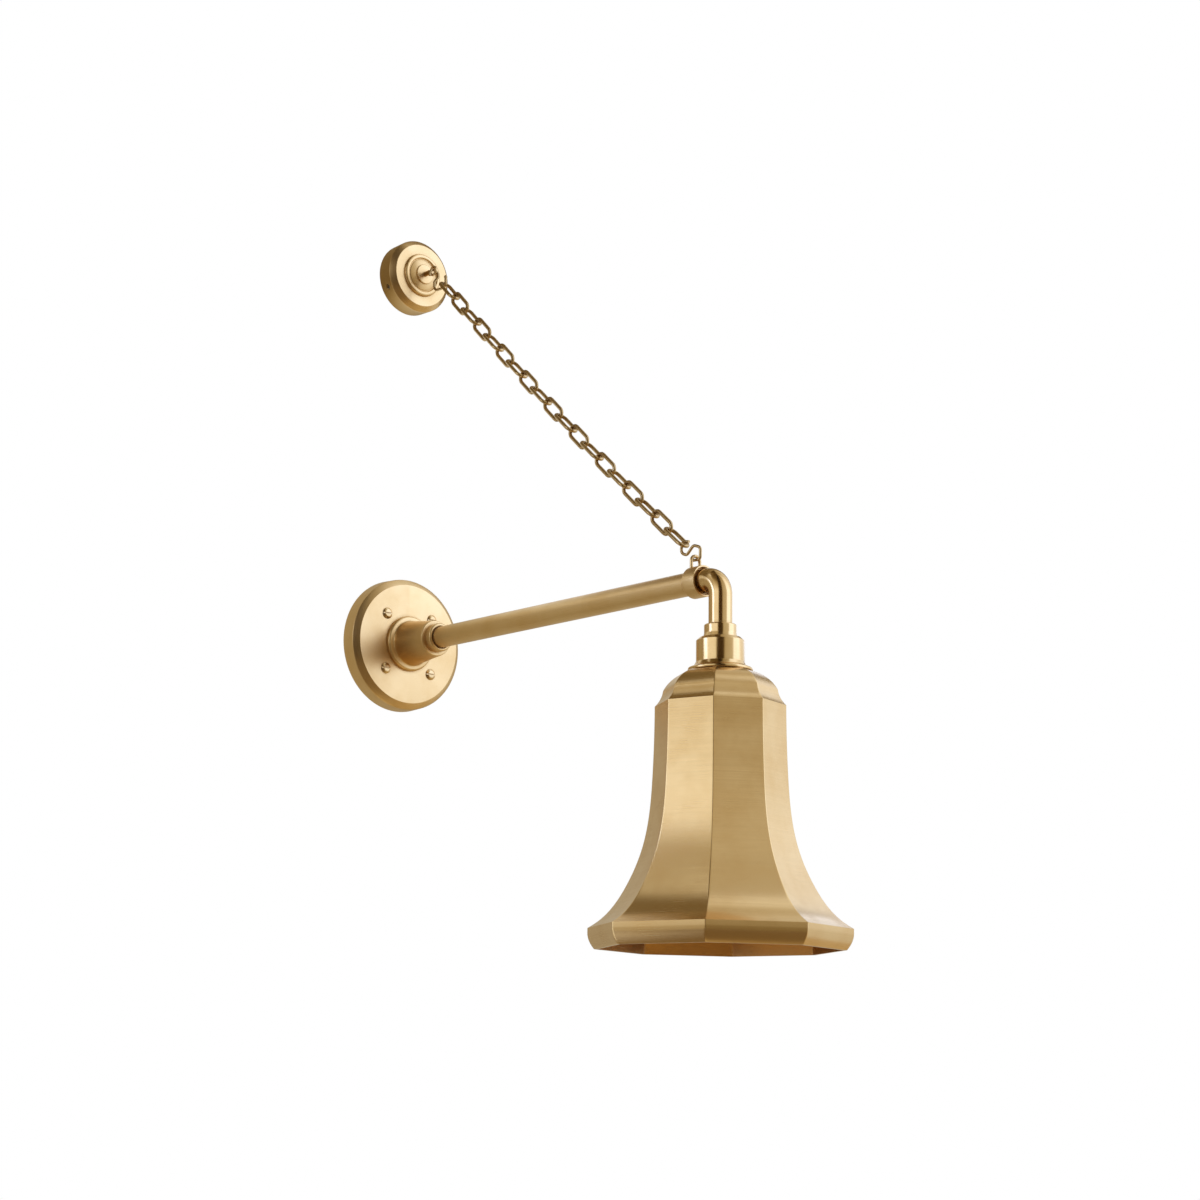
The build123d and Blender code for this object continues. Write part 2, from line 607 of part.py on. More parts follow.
def lower_hook():
    """S of wire in the upright plane: round the last link's end, then under the staple's crest."""
    crown_y, crown_z = crown_of_link(LINKS, 1)
    under = STAPLE_CREST - STAPLE_WIRE_R - HOOK_WIRE_R - RUNNING_GAP
    points = [
        (0, crown_y - 5.2, crown_z + 3.0), (0, crown_y + 3.3, crown_z + 4.3),
        (0, crown_y + 5.2, crown_z - 6.0), (0, crown_y - 2.6, crown_z - 9.0),
        (0, -STAPLE_Y + 2.6, STAPLE_CREST + 10.6), (0, -STAPLE_Y - 6.2, STAPLE_CREST + 7.4),
        (0, -STAPLE_Y - 6.0, under - 0.6), (0, -STAPLE_Y + 3.6, under)]
    path = FilletPolyline(*points, radius=[3.2, 5.0, 3.6, 4.4, 4.0, 3.2])
    return wire(path, HOOK_WIRE_R)


# ---- leads --------------------------------------------------------------------------


def lead(side):
    """Insulated lead from behind the plate, along the arm and round the elbow."""
    x = side * LEAD_SPREAD
    end = CUP_SHELF - LEAD_TAIL
    points = [(x, -LEAD_START, 0), (x, -ARM_REACH, 0), (x, -ARM_REACH, end)]
    return wire(FilletPolyline(*points, radius=[ELBOW_BEND_R]), LEAD_R)


# ---- all pieces ---------------------------------------------------------------------

PIECES = {
    "mounting_bracket": mounting_bracket,
    "wall_plate": wall_plate,
    "plate_screws": plate_screws,
    "arm_lock_nut": arm_lock_nut,
    "arm_hub": arm_hub,
    "hub_ring": hub_ring,
    "arm_tube": arm_tube,
    "arm_collar": arm_collar,
    "chain_staple": chain_staple,
    "elbow_tube": elbow_tube,
    "drop_ring": drop_ring,
    "socket_cup": socket_cup,
    "shade_gallery": shade_gallery,
    "lampholder_body": lampholder_body,
    "screw_shell": screw_shell,
    "centre_contact": centre_contact,
    "lead_live": lambda: lead(-1),
    "lead_neutral": lambda: lead(1),
    "shade_ring": shade_ring,
    "shade": shade,
    "rosette_bracket": rosette_bracket,
    "rosette_cover": rosette_cover,
    "rosette_grub_screws": rosette_grub_screws,
    "eye_washer": eye_washer,
    "screw_eye": screw_eye,
    "upper_hook": upper_hook,
    "lower_hook": lower_hook,
}
for link_number in range(1, LINKS + 1):
    PIECES[f"chain_link_{link_number:02d}"] = lambda number=link_number: chain_link(number)

os.makedirs("parts", exist_ok=True)
for node, build in PIECES.items():
    export_step(build(), f"parts/{node}.step")
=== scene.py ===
"""Looks of the brass wall light: materials, redrawn pieces, studio and camera.

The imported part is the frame. Places are in metres in its axes, and the sections of the
redrawn pieces are in millimetres. The shade is redrawn with rounded mitres that catch the
light, the links in heavier wire, and the rosette and the screws closer to the photograph.
"""

from math import atan2, cos, pi, radians, sin

import bmesh
import bpy
import numpy as np
from mathutils import Matrix, Vector


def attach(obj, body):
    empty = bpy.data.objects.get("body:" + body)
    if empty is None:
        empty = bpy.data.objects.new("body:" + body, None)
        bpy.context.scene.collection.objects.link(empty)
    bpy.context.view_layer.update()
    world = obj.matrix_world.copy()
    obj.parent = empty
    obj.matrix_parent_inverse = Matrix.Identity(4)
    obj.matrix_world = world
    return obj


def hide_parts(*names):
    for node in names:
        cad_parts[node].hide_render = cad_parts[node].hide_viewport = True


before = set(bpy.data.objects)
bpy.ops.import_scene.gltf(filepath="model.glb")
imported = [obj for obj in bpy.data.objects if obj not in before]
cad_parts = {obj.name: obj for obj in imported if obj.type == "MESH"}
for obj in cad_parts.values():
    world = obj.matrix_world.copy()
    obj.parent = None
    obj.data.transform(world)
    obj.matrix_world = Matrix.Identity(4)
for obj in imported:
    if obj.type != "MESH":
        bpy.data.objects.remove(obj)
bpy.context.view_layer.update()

MM = 0.001

# where the axes of the turned pieces run
ROSETTE_RISE = 391 * MM
ARM_REACH = 473 * MM

# the camera that took the photograph, as fitted to it
CAMERA_AT = Vector((-1.42917, -1.95319, -0.43958))
CAMERA_PAN = radians(-41.0657)
CAMERA_PITCH = radians(90 + 11.5003)
CAMERA_ROLL = radians(0.7523)
CAMERA_LENS, SENSOR_WIDE = 72.122, 36     # millimetres
CAMERA_SIDE = atan2(CAMERA_AT.y + ARM_REACH, CAMERA_AT.x)    # azimuth of the camera from the shade

# colours, linear
BRASS = (0.80, 0.56, 0.27)
BRASS_WARM = (0.74, 0.49, 0.21)
BRASS_DARK = (0.42, 0.27, 0.11)
WHITE = (1.0, 1.0, 1.0)

QUARTER = pi / 2


# ---- node helpers -------------------------------------------------------------------

# a mix node has sockets for every kind of data, and these are the ones for colours
MIX_A, MIX_B, MIX_RESULT = 6, 7, 2


class Shader:
    """Short ways to add nodes to one material or world."""

    def __init__(self, owner):
        owner.use_nodes = True
        self.tree = owner.node_tree
        self.tree.nodes.clear()

    def add(self, kind, **settings):
        node = self.tree.nodes.new(kind)
        for name, value in settings.items():
            setattr(node, name, value)
        return node

    def put(self, value, socket):
        """Links a socket, or sets a constant."""
        if isinstance(value, bpy.types.NodeSocket):
            self.tree.links.new(value, socket)
        elif isinstance(value, (tuple, list)) and len(value) == 3 and socket.type == "RGBA":
            socket.default_value = (*value, 1.0)
        else:
            socket.default_value = value

    def math(self, operation, a, b=0.0, c=0.0):
        node = self.add("ShaderNodeMath", operation=operation)
        for value, socket in zip((a, b, c), node.inputs):
            self.put(value, socket)
        return node.outputs[0]

    def mix(self, factor, a, b, blend="MIX"):
        node = self.add("ShaderNodeMix", data_type="RGBA", blend_type=blend)
        self.put(factor, node.inputs["Factor"])
        self.put(a, node.inputs[MIX_A])
        self.put(b, node.inputs[MIX_B])
        return node.outputs[MIX_RESULT]

    def split(self, vector):
        """The x, y and z of a vector."""
        node = self.add("ShaderNodeSeparateXYZ")
        self.put(vector, node.inputs[0])
        return node.outputs

    def off_axis(self, x, y):
        """Distance from the local Z axis."""
        squares = [self.math("MULTIPLY", value, value) for value in (x, y)]
        return self.math("SQRT", self.math("ADD", *squares))

    def noise(self, vector, scale, detail=3.0, roughness=0.5):
        node = self.add("ShaderNodeTexNoise")
        self.put(vector, node.inputs["Vector"])
        self.put(scale, node.inputs["Scale"])
        self.put(detail, node.inputs["Detail"])
        self.put(roughness, node.inputs["Roughness"])
        return node.outputs["Fac"]

    def ranged(self, value, low, high, to_low, to_high):
        node = self.add("ShaderNodeMapRange")
        for item, name in ((value, "Value"), (low, "From Min"), (high, "From Max"),
                           (to_low, "To Min"), (to_high, "To Max")):
            self.put(item, node.inputs[name])
        return node.outputs["Result"]

    def placed(self, location=(0, 0, 0), rotation=(0, 0, 0)):
        """Object coordinates moved so that an axis of the light becomes local Z."""
        at = self.add("ShaderNodeTexCoord").outputs["Object"]
        shift = self.add("ShaderNodeVectorMath", operation="SUBTRACT")
        self.put(at, shift.inputs[0])
        shift.inputs[1].default_value = location
        node = self.add("ShaderNodeMapping")
        self.put(shift.outputs[0], node.inputs["Vector"])
        node.inputs["Rotation"].default_value = rotation
        return node.outputs["Vector"]

    def bump(self, height, strength, distance, normal=None):
        node = self.add("ShaderNodeBump")
        self.put(height, node.inputs["Height"])
        self.put(strength, node.inputs["Strength"])
        self.put(distance, node.inputs["Distance"])
        if normal:
            self.put(normal, node.inputs["Normal"])
        return node.outputs["Normal"]

    def surface(self, **values):
        """Principled shader to the output; names are the sockets' own, spaces as underscores."""
        shader = self.add("ShaderNodeBsdfPrincipled")
        for name, value in values.items():
            self.put(value, shader.inputs[name.replace("_", " ")])
        self.put(shader.outputs[0], self.add("ShaderNodeOutputMaterial").inputs["Surface"])


def new_material(name):
    material = bpy.data.materials.new(name)
    return material, Shader(material)


# ---- materials ----------------------------------------------------------------------

# the scales of noise are per metre
CLOUD_SCALE, SPECK_SCALE = 26.0, 420.0
ALONG_SIDE_SCALE = 12.0                   # how slowly a brush line changes along a side
PATINA_AND_SHADE_REACH = 3.5 * MM                   # how far out of a corner the patina and painted shade go
LINE_RELIEF, CLOUD_RELIEF = 0.06 * MM, 0.5 * MM
FINE_RELIEF, GLAZE_RELIEF = 0.05 * MM, 0.2 * MM


def ring_lines(s, at, fineness):
    """Lathe lines: noise along the radius and along the axis at once."""
    x, y, z = s.split(at)
    line = s.add("ShaderNodeTexNoise", noise_dimensions="1D")
    s.put(s.math("ADD", s.off_axis(x, y), z), line.inputs["W"])
    s.put(fineness, line.inputs["Scale"])
    s.put(5.0, line.inputs["Detail"])
    return line.outputs["Fac"]


def level_lines(s, at, fineness):
    """Brush lines that run level round the shade."""
    stretch = s.add("ShaderNodeMapping")
    s.put(at, stretch.inputs["Vector"])
    stretch.inputs["Scale"].default_value = (ALONG_SIDE_SCALE, ALONG_SIDE_SCALE, fineness)
    return s.noise(stretch.outputs[0], 1.0, 6.0, 0.6)


def brass(name, axis_at=(0, 0, 0), axis_turn=(0, 0, 0), lines=ring_lines, fineness=2600,
          base=BRASS, warm=BRASS_WARM, dark=BRASS_DARK, roughness=0.24, age_and_shade=0.25):
    """Satin brass: brush lines, cloudy tarnish, and corners darker and duller, as patina with painted shade.
    """
    material, s = new_material(name)
    at = s.placed(axis_at, axis_turn)
    line = lines(s, at, fineness)
    cloud = s.noise(at, CLOUD_SCALE, 5.0, 0.55)
    speck = s.noise(at, SPECK_SCALE, 3.0, 0.6)
    # painted shade with patina: ambient occlusion darkens the colour in corners and between parts
    crease = s.add("ShaderNodeAmbientOcclusion", samples=6)
    crease.inputs["Distance"].default_value = PATINA_AND_SHADE_REACH
    corner = s.ranged(crease.outputs["AO"], 0.45, 0.95, 1.0, 0.0)
    clouded = s.mix(s.ranged(cloud, 0.38, 0.68, 0.0, 1.0), base, warm)
    lined = s.mix(s.ranged(line, 0.3, 0.7, 0.0, 0.16), clouded, dark)
    speckled = s.mix(s.ranged(speck, 0.62, 0.74, 0.0, age_and_shade * 0.6), lined, dark)
    aged_and_shaded = s.mix(s.math("MULTIPLY", corner, age_and_shade), speckled, dark)
    dull = s.math("ADD", corner, s.ranged(cloud, 0.35, 0.7, 0.0, 0.35))
    rough = s.math("ADD", s.ranged(line, 0.3, 0.7, roughness - 0.03, roughness + 0.04),
                   s.math("MULTIPLY", dull, 0.16))
    brushed = s.bump(line, 0.10, LINE_RELIEF)
    normal = s.bump(cloud, 0.12, CLOUD_RELIEF, brushed)
    s.surface(Base_Color=aged_and_shaded, Metallic=1.0, Roughness=rough, Normal=normal)
    return material


def steel(name, base, dark, roughness):
    """Plain steel with a cloudy coat and a fine grain."""
    material, s = new_material(name)
    at = s.placed()
    cloud = s.noise(at, 60.0, 6.0, 0.6)
    grain = s.noise(at, 900.0, 2.0, 0.5)
    colour = s.mix(s.ranged(cloud, 0.35, 0.7, 0.0, 1.0), base, dark)
    rough = s.ranged(grain, 0.3, 0.7, roughness - 0.06, roughness + 0.08)
    s.surface(Base_Color=colour, Metallic=1.0, Roughness=rough, Normal=s.bump(grain, 0.2, FINE_RELIEF))
    return material


def porcelain():
    """White glaze over a slightly uneven body."""
    material, s = new_material("porcelain")
    at = s.placed()
    cloud = s.noise(at, 70.0, 4.0, 0.5)
    colour = s.mix(cloud, (0.86, 0.85, 0.80), (0.78, 0.76, 0.70))
    s.surface(Base_Color=colour, Roughness=s.ranged(cloud, 0.3, 0.7, 0.14, 0.24), Coat_Weight=0.5,
              Coat_Roughness=0.08, Normal=s.bump(s.noise(at, 160.0), 0.05, GLAZE_RELIEF))
    return material


def insulation(name, base, light):
    """Matt sleeve of a lead."""
    material, s = new_material(name)
    at = s.placed()
    cloud = s.noise(at, 300.0, 4.0, 0.6)
    s.surface(Base_Color=s.mix(cloud, base, light), Roughness=s.ranged(cloud, 0.3, 0.7, 0.45, 0.65),
              Normal=s.bump(cloud, 0.3, FINE_RELIEF))
    return material


MATERIALS = {
    "arm": brass("brass_arm", (0, 0, 0), (QUARTER, 0, 0), roughness=0.31),
    "rosette": brass("brass_rosette", (0, 0, ROSETTE_RISE), (QUARTER, 0, 0), roughness=0.3),
    "drop": brass("brass_drop", (0, -ARM_REACH, 0), roughness=0.13),
    "shade": brass("brass_shade", (0, -ARM_REACH, 0), lines=level_lines, fineness=2200, roughness=0.2),
    "chain": brass("brass_chain", base=(0.60, 0.42, 0.20), warm=(0.50, 0.33, 0.14), roughness=0.27, age_and_shade=0.8),
    "screws": brass("brass_screws", base=(0.74, 0.53, 0.27), roughness=0.22, age_and_shade=0.6),
    "contact": brass("contact_metal", (0, -ARM_REACH, 0), base=(0.86, 0.68, 0.40), roughness=0.2, age_and_shade=0.15),
    "zinc": steel("zinc_steel", (0.66, 0.67, 0.66), (0.46, 0.47, 0.48), 0.34),
    "dark": steel("dark_steel", (0.06, 0.055, 0.05), (0.03, 0.028, 0.026), 0.5),
    "porcelain": porcelain(),
    "black": insulation("lead_black", (0.02, 0.02, 0.02), (0.04, 0.04, 0.04)),
    "white": insulation("lead_white", (0.82, 0.81, 0.77), (0.72, 0.70, 0.65)),
}
MADE_OF = {
    "arm": ["wall_plate", "arm_hub", "hub_ring", "arm_tube", "arm_collar"],
    "rosette": ["rosette_cover", "eye_washer"],
    "drop": ["elbow_tube", "drop_ring", "socket_cup", "shade_gallery"],
    "shade": ["shade"],
    "screws": ["plate_screws", "screw_eye", "chain_staple"],
    "contact": ["shade_ring", "screw_shell", "centre_contact"],
    "zinc": ["mounting_bracket", "rosette_bracket", "arm_lock_nut"],
    "dark": ["rosette_grub_screws"],
    "porcelain": ["lampholder_body"],
    "black": ["lead_live"],
    "white": ["lead_neutral"],
}
CREASE_ANGLE = radians(28)
WELD_REACH = 0.002 * MM


def crease_group():
    """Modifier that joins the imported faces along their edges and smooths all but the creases."""
    group = bpy.data.node_groups.new("weld_and_crease", "GeometryNodeTree")
    group.interface.new_socket("Geometry", in_out="INPUT", socket_type="NodeSocketGeometry")
    group.interface.new_socket("Geometry", in_out="OUTPUT", socket_type="NodeSocketGeometry")
    nodes, link = group.nodes, group.links.new
    start, end = nodes.new("NodeGroupInput"), nodes.new("NodeGroupOutput")
    weld = nodes.new("GeometryNodeMergeByDistance")
    weld.inputs["Distance"].default_value = WELD_REACH
    faces = nodes.new("GeometryNodeSetShadeSmooth")
    faces.inputs["Shade Smooth"].default_value = True
    edges = nodes.new("GeometryNodeSetShadeSmooth")
    edges.domain = "EDGE"
    edges.inputs["Shade Smooth"].default_value = False
    angle = nodes.new("GeometryNodeInputMeshEdgeAngle")
    sharp = nodes.new("FunctionNodeCompare")
    sharp.inputs["B"].default_value = CREASE_ANGLE
    link(start.outputs[0], weld.inputs["Geometry"])
    link(weld.outputs[0], faces.inputs["Geometry"])
    link(faces.outputs[0], edges.inputs["Geometry"])
    link(angle.outputs["Unsigned Angle"], sharp.inputs["A"])
    link(sharp.outputs[0], edges.inputs["Selection"])
    link(edges.outputs[0], end.inputs[0])
    return group


WELD_AND_CREASE = crease_group()


def finish_node(node, material):
    """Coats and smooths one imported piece; its vertices stay where they are."""
    data = node.data
    data.materials.clear()
    data.materials.append(material)
    for name in ("custom_normal", "sharp_edge", "sharp_face"):
        if name in data.attributes:
            data.attributes.remove(data.attributes[name])
    node.modifiers.new("weld_and_crease", "NODES").node_group = WELD_AND_CREASE


for kind, names in MADE_OF.items():
    for piece in names:
        finish_node(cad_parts[piece], MATERIALS[kind])
for piece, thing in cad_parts.items():
    if piece.startswith("chain_link") or piece.endswith("_hook"):
        finish_node(thing, MATERIALS["chain"])


# ---- helpers for redrawn pieces -----------------------------------------------------


def bridge(mesh, rings):
    """Faces from each ring of vertices to the next, and from the last to the first."""
    for ring, after in zip(rings, rings[1:] + rings[:1]):
        for n in range(len(ring)):
            m = (n + 1) % len(ring)
            mesh.faces.new((ring[n], after[n], after[m], ring[m]))


def face_outwards(mesh):
    """Turns every face of a bmesh outwards."""
    bmesh.ops.recalc_face_normals(mesh, faces=mesh.faces)


def add_piece(name, mesh, material, body, slot, *replaced):
    """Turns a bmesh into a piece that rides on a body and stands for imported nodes."""
    data = bpy.data.meshes.new(name)
    mesh.to_mesh(data)
    mesh.free()
    thing = bpy.data.objects.new(name, data)
    bpy.context.collection.objects.link(thing)
    data.materials.append(material)
    for face in data.polygons:
        face.use_smooth = True
    data.set_sharp_from_angle(angle=CREASE_ANGLE)
    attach(thing, body)
    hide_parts(*replaced)


# ---- shade --------------------------------------------------------------------------

SIDES = 8
FLATNESS = cos(pi / SIDES)                # middle of a side to corner
FIRST_CORNER = radians(-4.9 + 90)         # the shade sits 4.9 degrees off square
# points of the section are (radius of the corners, height above the arm's axis)
SHADE_WALL = 1.2
SHADE_TOP = -83.7
FITTER_HOLE_R = 20.0
CROWN_FLAT_R = 29.5
DOME_MID, SHOULDER = (41.6, -89.9), (50.0, -100.0)
COVE_MID, SKIRT_TOP = (52.1, -106.8), (57.2, -113.6)
FLARE = [(58.7, -175.3), (67.3, -237.1), (80.3, -268.1), (104.9, -299.0), (113.7, -304.6)]
FLARE_START, FLARE_END = (0.0, -1.0), (0.85, -0.527)         # directions of the skirt there
RIM_R, RIM_INNER_R, RIM_FOOT = 113.7, 105.0, -322.6
RIM_ROUND_IN, RIM_ROUND_UP = 5.6, 14.0    # the band rolls in towards its foot
RIM_CLEAR, RIM_STEP = 0.3, 0.4            # where the sheet's inside stops short of the rim's
MITRE_ROUND = 0.9
EDGE_STRIP = 1.6                          # narrow faces beside each mitre keep the sides flat
DOME_POINTS, COVE_POINTS, FLARE_POINTS, RIM_POINTS, MITRE_POINTS = 18, 12, 70, 14, 4


def flat(point):
    """A corner radius becomes the distance to the middle of the side."""
    return np.array([point[0] * FLATNESS, point[1]])


def arc_through(start, middle, end, count):
    """Points of the short arc through three points, both ends included."""
    rows = np.array([middle - start, end - start]) * 2
    right = [middle @ middle - start @ start, end @ end - start @ start]
    centre = np.linalg.solve(rows, right)
    first, last = (atan2(*(point - centre)[::-1]) for point in (start, end))
    sweep = (last - first + pi) % (2 * pi) - pi
    radius = np.linalg.norm(start - centre)
    steps = first + sweep * np.linspace(0, 1, count)
    return centre + radius * np.column_stack([np.cos(steps), np.sin(steps)])


def clamped_spline(points, first, last, count):
    """Cubic spline through the points with given directions at both ends."""
    points = np.array(points)
    spans = np.linalg.norm(np.diff(points, axis=0), axis=1)
    size = len(points)
    system, right = np.eye(size), np.zeros((size, 2))
    right[0], right[-1] = first, last
    for n in range(1, size - 1):
        before, after = spans[n - 1], spans[n]
        step_in, step_out = points[n] - points[n - 1], points[n + 1] - points[n]
        system[n, n - 1:n + 2] = after, 2 * (before + after), before
        right[n] = 3 * (before * step_out / after + after * step_in / before)
    slopes = np.linalg.solve(system, right)
    made = [points[0]]
    for n, span in enumerate(spans):
        for t in np.linspace(0, 1, max(3, int(count * span / spans.sum())))[1:]:
            made.append((1 + 2 * t) * (1 - t) ** 2 * points[n] + t * (1 - t) ** 2 * span * slopes[n]
                        + t * t * (3 - 2 * t) * points[n + 1] + t * t * (t - 1) * span * slopes[n + 1])
    return np.array(made)


def shade_profile():
    """Outer and inner middle lines of one side, from the crown to the foot."""
    crown = flat((CROWN_FLAT_R, SHADE_TOP))
    dome = arc_through(crown, flat(DOME_MID), flat(SHOULDER), DOME_POINTS)
    cove = arc_through(flat(SHOULDER), flat(COVE_MID), flat(SKIRT_TOP), COVE_POINTS)
    bends = [flat(point) for point in (SKIRT_TOP, *FLARE)]
    flare = clamped_spline(bends, FLARE_START, FLARE_END, FLARE_POINTS)
    down = np.linspace(0, 1, RIM_POINTS)
    rim = np.column_stack([RIM_R * FLATNESS - RIM_ROUND_IN * down ** 2,
                           RIM_FOOT + RIM_ROUND_UP * (1 - down)])
    sheet = np.vstack([dome, cove[1:], flare[1:]])
    along = np.gradient(sheet, axis=0)
    along /= np.linalg.norm(along, axis=1)[:, None]
    inner = sheet + np.column_stack([along[:, 1], -along[:, 0]]) * SHADE_WALL
    inner_x = RIM_INNER_R * FLATNESS
    inner = inner[inner[:, 0] < inner_x - RIM_CLEAR]
    inner[0] = crown[0], SHADE_TOP - SHADE_WALL
    outer = np.vstack([sheet, rim])
    return outer, np.vstack([inner, [[inner_x, inner[-1][1] - RIM_STEP], [inner_x, RIM_FOOT]]])


def octagon(distance):
    """Corner and strip points (x, y) of an octagon whose sides lie at a distance from its axis."""
    side = 2 * distance * sin(pi / SIDES) / FLATNESS
    reach = (distance - MITRE_ROUND) / FLATNESS
    points = []
    for corner in range(SIDES):
        angle = FIRST_CORNER + corner * 2 * pi / SIDES
        for step in np.linspace(-pi / SIDES, pi / SIDES, MITRE_POINTS):
            points.append((reach * cos(angle) + MITRE_ROUND * cos(angle + step),
                           reach * sin(angle) + MITRE_ROUND * sin(angle + step)))
        middle = angle + pi / SIDES
        for along in (-side / 2 + EDGE_STRIP, side / 2 - EDGE_STRIP):
            points.append((distance * cos(middle) - along * sin(middle),
                           distance * sin(middle) + along * cos(middle)))
    return points


def dressed_shade():
    """The bell, closed round its wall, with rounded mitres."""
    outer, inner = shade_profile()
    sides = [[(x, y, z) for x, y in octagon(distance)] for distance, z in [*outer, *inner[::-1]]]
    hole = [(FITTER_HOLE_R * cos(angle), FITTER_HOLE_R * sin(angle))
            for angle in (atan2(y, x) for x, y, _ in sides[0])]
    top, under = ([(x, y, z) for x, y in hole] for z in (SHADE_TOP, SHADE_TOP - SHADE_WALL))
    mesh = bmesh.new()
    bridge(mesh, [[mesh.verts.new((x * MM, y * MM - ARM_REACH, z * MM)) for x, y, z in ring]
                  for ring in (top, *sides, under)])
    face_outwards(mesh)
    add_piece("shade_bell", mesh, MATERIALS["shade"], "shade", "shade_brass", "shade")


dressed_shade()


# ---- chain --------------------------------------------------------------------------

LINK_WIRE = 1.8                           # radius
LINK_HALF_WIDE = 5.9                      # middle of the wire, square to the link's length
LINK_SLACK = 0.15
LINK_STEPS, WIRE_STEPS = 12, 12           # round each end and round the wire


def packed_points(name):
    """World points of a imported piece, in millimetres."""
    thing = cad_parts[name]
    return np.array([thing.matrix_world @ vertex.co for vertex in thing.data.vertices]) / MM


def link_frame(points):
    """Middle of a packed link, and its long, wide and thin directions."""
    _, _, axes = np.linalg.svd(points - points.mean(axis=0), full_matrices=False)
    spans = points @ axes.T
    middle = (spans.min(axis=0) + spans.max(axis=0)) / 2 @ axes
    return middle, axes


def link_loop(half_long):
    """Middle line of the wire, two half circles joined by straights, and the way outwards.

    Both are rows of (along the link, across it).
    """
    turn = np.linspace(-QUARTER, QUARTER, LINK_STEPS + 1)
    outwards = np.column_stack([np.cos(turn), np.sin(turn)])
    end = LINK_HALF_WIDE * outwards + (half_long - LINK_HALF_WIDE, 0)
    return np.vstack([end, -end]), np.vstack([outwards, -outwards])


def dressed_links():
    """Every link redrawn in heavier wire, on the middle and directions of its packed one."""
    names = sorted(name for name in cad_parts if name.startswith("chain_link"))
    frames = [link_frame(packed_points(name)) for name in names]
    pitch = np.linalg.norm(frames[-1][0] - frames[0][0]) / (len(names) - 1)
    line, outwards = link_loop(pitch / 2 + LINK_SLACK + LINK_WIRE)
    round_wire = np.linspace(0, 2 * pi, WIRE_STEPS, endpoint=False)
    mesh = bmesh.new()
    for middle, (*plane, thin) in frames:
        rings = []
        for place, way in zip(line @ plane, outwards @ plane):
            around = [cos(turn) * way + sin(turn) * thin for turn in round_wire]
            rings.append([mesh.verts.new((middle + place + LINK_WIRE * out) * MM) for out in around])
        bridge(mesh, rings)
    face_outwards(mesh)
    add_piece("links", mesh, MATERIALS["chain"], "stay_chain", "chain_brass", *names)


dressed_links()


# ---- rosette and screws -------------------------------------------------------------

# each section is a closed line of (radius, place along the axis, rounding)
ROSETTE_BACK = [(2.65, 20.2, 0), (30.4, 20.2, 2.0), (35.75, 15.1, 1.0), (35.75, 0, 0)]
ROSETTE_BAND = [(37.6, 0, 0), (37.82, 7, 0), (38.07, 15.2, 0), (38.15, 17.5, 1.0), (32.8, 22.6, 0.8)]
ROSETTE_BEAD = [(22.6, 22.6, 0.4), (22.4, 25.8, 2.4), (18.4, 25.8, 1.3), (17.3, 24.3, 0.7)]
ROSETTE_DOME = [(16.2, 25.1, 0.7), (10.4, 27.5, 0), (2.65, 27.5, 0)]
SET_SCREW_OUT = 10.5                      # from the wall
SET_SCREW_FALL = radians(27)              # below level
SET_SCREW_HOLE = [(0, 30, 0), (2.94, 30, 0), (2.94, 45, 0), (0, 45, 0)]
SET_SCREW = [(0, 34, 0), (1.87, 34, 0), (1.87, 35.2, 0), (2.81, 35.2, 0.3), (2.81, 32, 0), (0, 32, 0)]
PLATE_FACE = 19.1                         # from the wall
PLATE_SCREW_AT = 28.0                     # across and up from the arm's axis
HEAD_RISE = 2.1                           # crown of the head above the plate
HEAD = [(0, HEAD_RISE, 0), (3.6, 2.0, 2.5), (5.7, 0.5, 0.5), (5.7, 0, 0)]
SHANK = [(1.95, 0, 0), (1.95, -12, 0), (0, -12, 0)]
SLOT_LONG, SLOT_WIDE, SLOT_DEEP = 14, 1.5, 1.3
COVER_STEPS, HOLE_STEPS, HEAD_STEPS, ROUNDING_STEPS = 96, 24, 32, 4
JOIN_REACH = 0.0001 * MM


def rounded(section):
    """The points of a section, with its roundings drawn in."""
    corners = [np.array(corner[:2], float) for corner in section]
    points = []
    for n, (corner, (_, _, radius)) in enumerate(zip(corners, section)):
        if not radius:
            points.append(corner)
            continue
        back, on = corners[n - 1] - corner, corners[(n + 1) % len(corners)] - corner
        back, on = back / np.linalg.norm(back), on / np.linalg.norm(on)
        reach = radius * np.tan((pi - np.arccos(back @ on)) / 2)
        for part in np.linspace(0, 1, ROUNDING_STEPS + 1):
            points.append(corner + reach * ((1 - part) ** 2 * back + part ** 2 * on))
    return points


def add_turned(mesh, section, origin, axis, steps):
    """Adds a section turned about an axis to a bmesh."""
    axis = np.array(axis, float)
    side = np.cross(axis, (0.0, 0.0, 1.0))
    side /= np.linalg.norm(side)
    other = np.cross(axis, side)
    turns = np.linspace(0, 2 * pi, steps, endpoint=False)
    ways = [cos(turn) * side + sin(turn) * other for turn in turns]
    rings = []
    for radius, along in rounded(section):
        middle = np.array(origin) + along * axis
        rings.append([mesh.verts.new((middle + radius * way) * MM) for way in ways])
    bridge(mesh, rings)


def closed(mesh):
    """The same bmesh, with the points that a turned section leaves on its axis joined."""
    bmesh.ops.remove_doubles(mesh, verts=mesh.verts, dist=JOIN_REACH)
    face_outwards(mesh)
    return mesh


def cut_away(mesh, cutter):
    """The first bmesh less the second."""
    things = []
    for name, source in (("cut", mesh), ("cutter", cutter)):
        data = bpy.data.meshes.new(name)
        closed(source).to_mesh(data)
        source.free()
        things.append(bpy.data.objects.new(name, data))
        bpy.context.collection.objects.link(things[-1])
    modifier = things[0].modifiers.new("cut", "BOOLEAN")
    modifier.object, modifier.operation, modifier.solver = things[1], "DIFFERENCE", "EXACT"
    result = bmesh.new()
    result.from_object(things[0], bpy.context.evaluated_depsgraph_get())
    for thing in things:
        data = thing.data
        bpy.data.objects.remove(thing)
        bpy.data.meshes.remove(data)
    return result


